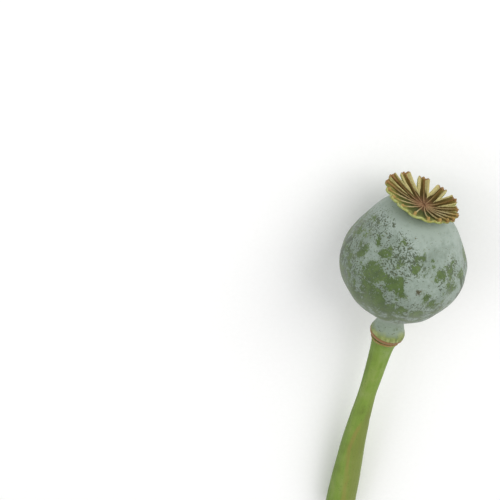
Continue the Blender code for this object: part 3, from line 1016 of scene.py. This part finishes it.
def ray_paths():
    """Each ray from the crown's middle to its lobe's tip: (points and thicknesses, knob size)."""
    place = spine_frame(CROWN_CENTRE)
    draw = np.random.default_rng(CROWN_SEED + 1)
    paths = []
    for bearing, length, half_width, gap_before, _ in lobe_shapes():
        back, front = facing(bearing, BACK_SIDE), facing(bearing, FRONT_SIDE)
        start = draw.uniform(0.4, 1.3) * MM
        wander = draw.uniform(-0.35, 0.35) * MM
        end = length - (0.9 + 0.5 * back) * MM
        column = {"bearing": bearing, "rim": length, "offset": 0.0, "half_width": half_width,
                  "half_gap": gap_before / 2, "length": length, "curl": 0.0, "lift": 0.0}
        points = []
        for step in range(RAY_STEPS + 1):
            share = step / RAY_STEPS
            radius = start + (end - start) * share
            sideways = round_spot(wander * sin(pi * share), bearing + pi / 2)
            spot = crown_spot(radius, bearing, crown_top(radius, column) + RAY_LIFT) + sideways
            thickness = 0.17 + 0.17 * smooth_step(0.1, 0.8, share) * (1 - 0.5 * front) * (1 - 0.3 * back)
            thickness += 0.1 * (1 - smooth_step(0.08, 0.35, share))
            points.append((place @ spot, thickness * MM))
        paths.append((points, 1.0 - 0.45 * back + 0.35 * front))
    return paths


def new_tree(name, sockets):
    """A Geometry Nodes tree with its named inputs; returns it, its node adder and the inputs."""
    tree = bpy.data.node_groups.new(name, "GeometryNodeTree")
    for label, kind in sockets:
        tree.interface.new_socket(label, in_out="INPUT", socket_type="NodeSocket" + kind)
    tree.interface.new_socket("Geometry", in_out="OUTPUT", socket_type="NodeSocketGeometry")
    return tree, partial(add_node, tree), tree.nodes.new("NodeGroupInput").outputs


def end_tree(tree, node, geometry, material):
    """Make a tree's instances real, give them their material and hand them out."""
    real = node("GeometryNodeRealizeInstances", {"Geometry": geometry})
    surfaced = node("GeometryNodeSetMaterial", {"Geometry": real, "Material": material})
    tree.links.new(surfaced, tree.nodes.new("NodeGroupOutput").inputs[0])
    return tree


def ray_tree(material):
    """Geometry Nodes: sweep a ridge along each ray and set a lumpy knob on its tip."""
    tree, node, given = new_tree("stigma_rays", (
        ("Rays", "Geometry"), ("Spacing", "Float"), ("Tip Size", "Float"),
        ("Papilla Size", "Float"), ("Papilla Height", "Float"), ("Seed", "Int")))
    named = partial(node, "GeometryNodeInputNamedAttribute", data_type="FLOAT")
    curves = node("GeometryNodeMeshToCurve", {"Mesh": given["Rays"]})
    even = node("GeometryNodeResampleCurve", {"Curve": curves, "Length": given["Spacing"]}, mode="LENGTH")
    ring = node("GeometryNodeCurvePrimitiveCircle", {"Resolution": 10, "Radius": 1.0})
    ridges = node("GeometryNodeCurveToMesh", {
        "Curve": even, "Profile Curve": ring, "Scale": named({"Name": "thickness"}), "Fill Caps": True})
    ends = node("GeometryNodeCurveEndpointSelection", {"Start Size": 0, "End Size": 1})
    ball = node("GeometryNodeMeshIcoSphere", {"Radius": given["Tip Size"], "Subdivisions": 4})
    turn = node("FunctionNodeAlignEulerToVector", {"Vector": node("GeometryNodeInputTangent")}, axis="X")
    stretch = node("FunctionNodeRandomValue",
                   {0: (0.9, 0.9, 0.6), 1: (1.4, 1.4, 0.85), "Seed": given["Seed"]},
                   data_type="FLOAT_VECTOR")
    swollen = node("vector scale", (stretch, named({"Name": "knob"})))
    knobs = node("GeometryNodeInstanceOnPoints", {
        "Points": curves, "Selection": ends, "Instance": ball, "Rotation": turn, "Scale": swollen})
    solid_knobs = node("GeometryNodeRealizeInstances", {"Geometry": knobs})
    joined = node("GeometryNodeJoinGeometry", {0: ridges})
    tree.links.new(solid_knobs, joined.node.inputs[0])
    crowding = node("DIVIDE", (1.0, given["Papilla Size"]))
    lumps = node("noise", (node("GeometryNodeInputPosition"), crowding, 2.0))
    height = node("MULTIPLY", (node("SUBTRACT", (lumps, 0.5)), given["Papilla Height"]))
    push = node("vector scale", (node("GeometryNodeInputNormal"), height))
    rough = node("GeometryNodeSetPosition", {"Geometry": joined, "Offset": push})
    return end_tree(tree, node, rough, material)


def scar_tree(material):
    """Geometry Nodes: small corky scars set side by side round a ring."""
    tree, node, given = new_tree(
        "stamen_scars", (("Ring", "Geometry"), ("Scar Size", "Float"), ("Seed", "Int")))
    bead = node("GeometryNodeMeshIcoSphere", {"Radius": given["Scar Size"], "Subdivisions": 3})
    outward = node("GeometryNodeInputNamedAttribute", {"Name": "outward"}, data_type="FLOAT_VECTOR")
    turn = node("FunctionNodeAlignEulerToVector", {"Vector": outward}, axis="Z")
    scale = node("FunctionNodeRandomValue",
                 {0: (0.7, 0.7, 0.35), 1: (1.5, 1.2, 0.8), "Seed": given["Seed"]},
                 data_type="FLOAT_VECTOR")
    beads = node("GeometryNodeInstanceOnPoints", {
        "Points": given["Ring"], "Instance": bead, "Rotation": turn, "Scale": scale})
    return end_tree(tree, node, beads, material)


def grown_mesh(name, guide, tree, values, head, material):
    """Run a Geometry Nodes tree on a guide mesh and keep the result as a plain mesh object."""
    guide_object = link_object(name + "_guide", guide)
    modifier = guide_object.modifiers.new("grow", "NODES")
    modifier.node_group = tree
    for item in tree.interface.items_tree:
        if item.in_out == "INPUT" and item.name in values:
            modifier[item.identifier] = values[item.name]
    graph = bpy.context.evaluated_depsgraph_get()
    mesh = bpy.data.meshes.new_from_object(guide_object.evaluated_get(graph), depsgraph=graph)
    bpy.data.objects.remove(guide_object, do_unlink=True)
    mesh.name = name
    finish_mesh(mesh, head, material)
    return link_object(name, mesh)


def build_rays(settings):
    """The rays on the crown: velvety ridges with knobbed tips."""
    head = head_matrix()
    material = ray_material(settings)
    points, edges, thicknesses, knobs = [], [], [], []
    for path, knob in ray_paths():
        for number, (spot, thickness) in enumerate(path):
            if number:
                edges.append((len(points) - 1, len(points)))
            points.append(tuple(head @ spot))
            thicknesses.append(thickness)
            knobs.append(knob)
    guide = bpy.data.meshes.new("ray_guides")
    guide.from_pydata(points, edges, [])
    store_values(guide, {"thickness": thicknesses, "knob": knobs})
    values = {
        "Spacing": settings.ray_spacing,
        "Tip Size": settings.tip_size,
        "Papilla Size": settings.papilla_size,
        "Papilla Height": settings.papilla_height,
        "Seed": CROWN_SEED,
    }
    piece = grown_mesh("crown_rays", guide, ray_tree(material), values, head, material)
    local = spine_frame(CROWN_CENTRE).inverted()
    places = [local @ Vector(row) for row in upright_places(piece.data, head)]
    store_values(piece.data, {
        "reach": [Vector((place.x, place.y)).length / CROWN_RADIUS for place in places],
        "back": [1 - facing(atan2(place.y, place.x), NEAR_SIDE) for place in places],
    })
    return piece


def stem_relief(height, bearing):
    """Faint lengthwise ridges, slow unevenness, and the scar's ridge and crumbs."""
    turn = swell((height / (25.0 * MM), 3.0, 7.0), 1.0, 0.5)
    ridges = 0.0
    for (count, size), way in ((BROAD_RIDGES, turn), (FINE_RIDGES, -turn)):
        ridges += size * cos(count * (bearing + way))
    slow = swell(round_spot(0.7, bearing, height / (9.0 * MM)), 1.0, 0.1 * MM)
    crumbs = swell(round_spot(6.0, bearing, height / (0.7 * MM)), 1.0, 0.08 * MM)
    scar = SCAR_RIDGE * bell((height - SCAR_HEIGHT) / SCAR_WIDTH)
    below = smooth_step(-34.5 * MM, -38.0 * MM, height)
    return below * (ridges + slow) + scar + (1 - below) * crumbs


def angle_from(bearings, mark):
    """The turn from a mark to each bearing, between half a turn back and half a turn on."""
    return np.angle(np.exp(1j * (bearings - mark)))


def build_stem(settings):
    """The stem from the scar's ridge to the plain cut end."""
    piece, places = turned_body("stem_skin", STEM_REPLACES, STEM_PROFILE, stem_relief, 8,
                                settings, stem_material(settings))
    x, y, z = places.T
    bearings = np.arctan2(y, x - lines_through(SPINE, z))
    # A long ruddy mark that wanders down the front, and a duller olive side beyond it.
    turned = angle_from(bearings, np.radians(lines_through(RUDDY_MARK, z)))
    olive = rise(turned, -0.1, 0.5) * rise(-turned, -1.9, 0.5) * rise(-z, *OLIVE_BAND_DOWN)
    # Painted shade down the stem's left side, away from the light.
    beside = angle_from(bearings, SHADED_SIDE_BEARING) / SHADED_SIDE_SPREAD
    scarred = np.exp(-(((z - SCAR_HEIGHT) / (1.6 * SCAR_WIDTH)) ** 2))
    store_values(piece.data, {
        "scarred": scarred,
        "ruddy": np.exp(-((turned / RUDDY_SPREAD) ** 2)) * rise(-z, *RUDDY_BAND_DOWN),
        "olive": olive,
        "deep": 0.45 * np.exp(-(beside ** 2)),
        "bloomy": 0.2 * rise(z, *BLOOMY_BAND),
        "pith": (z < STEM_CUT + CUT_TOLERANCE) & (np.hypot(x - PITH_ASIDE, y) < PITH_RADIUS),
    })
    return piece


def build_scars(settings):
    """The ring of small stamen scars between the collar and the stem."""
    head = head_matrix()
    turn = head.to_3x3()
    material = scar_material(settings)
    draw = np.random.default_rng(RUBBED_SEED + 1)
    place = spine_frame(SCAR_HEIGHT)
    points, outwards = [], []
    for number in range(settings.scar_count):
        bearing = 2 * pi * (number + draw.uniform(-0.3, 0.3)) / settings.scar_count
        level = SCAR_HEIGHT + draw.uniform(-0.12, 0.12) * MM
        reach = curve_through(STEM_PROFILE, level) + stem_relief(level, bearing) - 0.05 * MM
        points.append(tuple(head @ place @ round_spot(reach, bearing, level - SCAR_HEIGHT)))
        outwards.append(tuple(turn @ round_spot(1.0, bearing)))
    guide = bpy.data.meshes.new("scar_guides")
    guide.from_pydata(points, [], [])
    store_vectors(guide, "outward", outwards)
    values = {"Scar Size": settings.scar_size, "Seed": RUBBED_SEED}
    return grown_mesh("stamen_scars", guide, scar_tree(material), values, head, material)


def build_floor(settings):
    """A wide flat sheet to lie on."""
    half = settings.floor_size / 2
    corners = [(-half, -half, 0.0), (half, -half, 0.0), (half, half, 0.0), (-half, half, 0.0)]
    mesh = bpy.data.meshes.new("studio_floor")
    mesh.from_pydata(corners, [], [(0, 1, 2, 3)])
    mesh.materials.append(floor_material())
    floor = link_object("studio_floor", mesh)


def add_soft_light(name, place, target, size, power, tint):
    """A square soft light that faces a point."""
    data = bpy.data.lights.new(name, "AREA")
    data.shape = "SQUARE"
    data.size = size
    data.energy = power
    data.color = tint
    light = link_object(name, data)
    light.location = place
    light.rotation_euler = (target - place).to_track_quat("-Z", "Y").to_euler()


def add_camera(settings, head):
    """A long-lens camera on the crown's side, turned so that the crown is at the top."""
    data = bpy.data.cameras.new("photograph_view")
    data.sensor_width = 36.0
    data.lens = data.sensor_width * settings.distance / settings.picture_width
    data.clip_start = 0.01
    camera = link_object("photograph_view", data)
    axis = (head.to_3x3() @ Vector((0.0, 0.0, 1.0))).normalized()
    lift = settings.view_angle + asin(axis.z)
    back = Vector((0.0, -cos(lift), sin(lift)))
    up = (axis - axis.dot(back) * back).normalized()
    right = up.cross(back).normalized()
    roll = Matrix.Rotation(settings.lean, 3, back)
    up, right = roll @ up, roll @ right
    middle = head @ Vector((0.1 * MM, 0.0, 0.0))
    place = middle + back * settings.distance
    place -= right * settings.middle_right + up * settings.middle_up
    turn = Matrix((right, up, back)).transposed()
    camera.matrix_world = Matrix.Translation(place) @ turn.to_4x4()
    bpy.context.scene.camera = camera
    return right, up, back, middle


def build_stage(settings):
    """Floor, even white surroundings, soft lights and the camera."""
    build_floor(settings)
    right, up, back, middle = add_camera(settings, head_matrix())
    # Each light as (name, steps to the right, up and back, lowest height, power, tint).
    for name, steps, lowest, power, tint in (
        ("soft_key", (0.5, 0.12, 0.87), 0.3, settings.key_power, (1.0, 0.99, 0.97)),
        ("soft_fill", (-0.8, -0.2, 0.6), 0.35, settings.fill_power, (0.97, 0.99, 1.0)),
    ):
        way = right * steps[0] + up * steps[1] + back * steps[2]
        place = middle + way * settings.light_distance
        place.z = max(place.z, lowest)
        add_soft_light(name, place, middle, settings.light_size, power, tint)
    world = bpy.data.worlds.new("white_room")
    world.use_nodes = True
    background = world.node_tree.nodes["Background"]
    set_inputs(world.node_tree, background, {"Color": "#ffffff", "Strength": settings.room_light})
    bpy.context.scene.world = world
    bpy.context.scene.view_settings.view_transform = "Standard"


Length = partial(FloatProperty, unit="LENGTH")
Angle = partial(FloatProperty, unit="ROTATION")
# What one pixel of the photograph spans at the head.
PIXEL = 0.354 * MM


class PoppyCapsuleSettings(PropertyGroup):
    """Sizes and colours of the capsule."""

    rings: IntProperty(name="Rings", description="Rings of faces along the capsule", default=230, min=40)
    segments: IntProperty(name="Segments", description="Faces round the capsule", default=300, min=60)
    # The bloom runs from its shaded to its light colour as the wax thickens and where painted light falls on
    # it.
    wax_light_code: StringProperty(
        name="Light bloom", description="Thickest wax, as an sRGB code", default="#95a299")
    wax_shade_code: StringProperty(
        name="Shaded bloom", description="Thinner wax, as an sRGB code", default="#6d7a6e")
    skin_code: StringProperty(name="Skin", description="Skin where the wax is gone", default="#465b28")


class PoppyCrownSettings(PropertyGroup):
    """Sizes and colours of the crown and its rays."""

    lobe_steps: IntProperty(name="Lobe steps", description="Columns across half a lobe", default=12, min=3)
    gap_steps: IntProperty(name="Gap steps", description="Columns across half a gap", default=5, min=2)
    hub_rings: IntProperty(name="Hub rings", description="Rings of the hub", default=14, min=3)
    outer_rings: IntProperty(name="Outer rings", description="Rings from hub to rim", default=38, min=6)
    under_rings: IntProperty(name="Under rings", description="Rings of the lower side", default=12, min=3)
    ray_spacing: Length(name="Ray spacing", description="Length of one ring of a ray", default=0.16 * MM)
    tip_size: Length(name="Tip size", description="Radius of a ray's knob", default=0.55 * MM)
    papilla_size: Length(name="Papilla size", description="Width of the rays' lumps", default=0.5 * MM)
    papilla_height: Length(name="Papilla height", description="Height of the rays' lumps", default=0.4 * MM)
    straw_code: StringProperty(name="Margins", description="Papery lobe margins", default="#b3a973")
    lip_code: StringProperty(name="Lip", description="Bright lip of the near lobes", default="#b0b370")
    tip_code: StringProperty(name="Tips", description="Tan lobe tips", default="#8f6f48")
    middle_code: StringProperty(name="Middle", description="Middle of the crown", default="#87674a")


class PoppyStemSettings(PropertyGroup):
    """Sizes and colours of the stem and its scars."""

    rings: IntProperty(name="Rings", description="Rings of faces along the stem", default=380, min=40)
    segments: IntProperty(name="Segments", description="Faces round the stem", default=110, min=20)
    stem_code: StringProperty(name="Stem", description="Green of the stem", default="#76903a")
    scar_code: StringProperty(name="Scar colour", description="Scar tissue", default="#a07648")
    scar_count: IntProperty(name="Scar count", description="Stamen scars round the ring", default=46, min=8)
    scar_size: Length(name="Scar size", description="Radius of a stamen scar", default=0.2 * MM)


class PoppyStageSettings(PropertyGroup):
    """Camera, floor and lights."""

    floor_size: Length(name="Floor size", description="Width of the floor", default=6.0)
    distance: Length(name="Distance", description="Camera to the capsule's middle", default=0.7)
    picture_width: Length(name="Picture width", description="Width seen at the capsule", default=500 * PIXEL)
    view_angle: Angle(name="View angle", description="Head's axis to the view", default=radians(56.0))
    lean: Angle(name="Lean", description="The head's lean in the picture", default=radians(11.3))
    middle_right: Length(name="Right", description="Capsule, right of the middle", default=153 * PIXEL)
    middle_up: Length(name="Up", description="Capsule, above the middle", default=-12 * PIXEL)
    light_distance: Length(name="Light distance", description="Lights to the capsule", default=1.3)
    light_size: Length(name="Light size", description="Width of each soft light", default=0.9)
    key_power: FloatProperty(name="Key power", description="Main light in watts", default=9.4)
    fill_power: FloatProperty(name="Fill power", description="Fill light in watts", default=3.0)
    room_light: FloatProperty(name="Room light", description="Strength of the surroundings", default=0.7)


class POPPY_OT_capsule(Operator):
    """Build the waxy capsule with its neck and collar"""

    bl_idname = "poppy.capsule"
    bl_label = "Build Capsule"

    def execute(self, context):
        piece = build_capsule(context.scene.poppy_capsule)
        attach(piece, "root")
        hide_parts(CAPSULE_REPLACES)
        return {"FINISHED"}


class POPPY_OT_crown(Operator):
    """Build the stigma crown's lobed disc and its rays"""

    bl_idname = "poppy.crown"
    bl_label = "Build Crown"

    def execute(self, context):
        settings = context.scene.poppy_crown
        for piece in (build_crown(settings), build_rays(settings)):
            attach(piece, "root")
            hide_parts(CROWN_REPLACES)
        return {"FINISHED"}


class POPPY_OT_stem(Operator):
    """Build the cut stem and the scar ring at its top"""

    bl_idname = "poppy.stem"
    bl_label = "Build Stem"

    def execute(self, context):
        settings = context.scene.poppy_stem
        for piece in (build_stem(settings), build_scars(settings)):
            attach(piece, "root")
            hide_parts(STEM_REPLACES)
        return {"FINISHED"}


class POPPY_OT_stage(Operator):
    """Set the floor, the lights and the camera"""

    bl_idname = "poppy.stage"
    bl_label = "Set Stage"

    def execute(self, context):
        build_stage(context.scene.poppy_stage)
        return {"FINISHED"}


class POPPY_PT_panel(Panel):
    """The seed head's pieces and settings"""

    bl_label = "Poppy Seed Head"
    bl_idname = "POPPY_PT_panel"
    bl_space_type = "VIEW_3D"
    bl_region_type = "UI"
    bl_category = "Poppy"

    def draw(self, context):
        for name, (group, operator) in STEPS.items():
            column = self.layout.column()
            column.operator(operator.bl_idname)
            for key in group.__annotations__:
                column.prop(getattr(context.scene, name), key)


# The settings that the scene keeps, with their group and the operator that reads them.
STEPS = {
    "poppy_capsule": (PoppyCapsuleSettings, POPPY_OT_capsule),
    "poppy_crown": (PoppyCrownSettings, POPPY_OT_crown),
    "poppy_stem": (PoppyStemSettings, POPPY_OT_stem),
    "poppy_stage": (PoppyStageSettings, POPPY_OT_stage),
}
CLASSES = [item for pair in STEPS.values() for item in pair] + [POPPY_PT_panel]


def register():
    for item in CLASSES:
        bpy.utils.register_class(item)
    for name, (group, _) in STEPS.items():
        setattr(bpy.types.Scene, name, PointerProperty(type=group))


def unregister():
    for name in STEPS:
        delattr(bpy.types.Scene, name)
    for item in reversed(CLASSES):
        bpy.utils.unregister_class(item)


def main():
    register()
    bpy.ops.poppy.capsule()
    bpy.ops.poppy.crown()
    bpy.ops.poppy.stem()
    bpy.ops.poppy.stage()


if __name__ == "__main__":
    main()
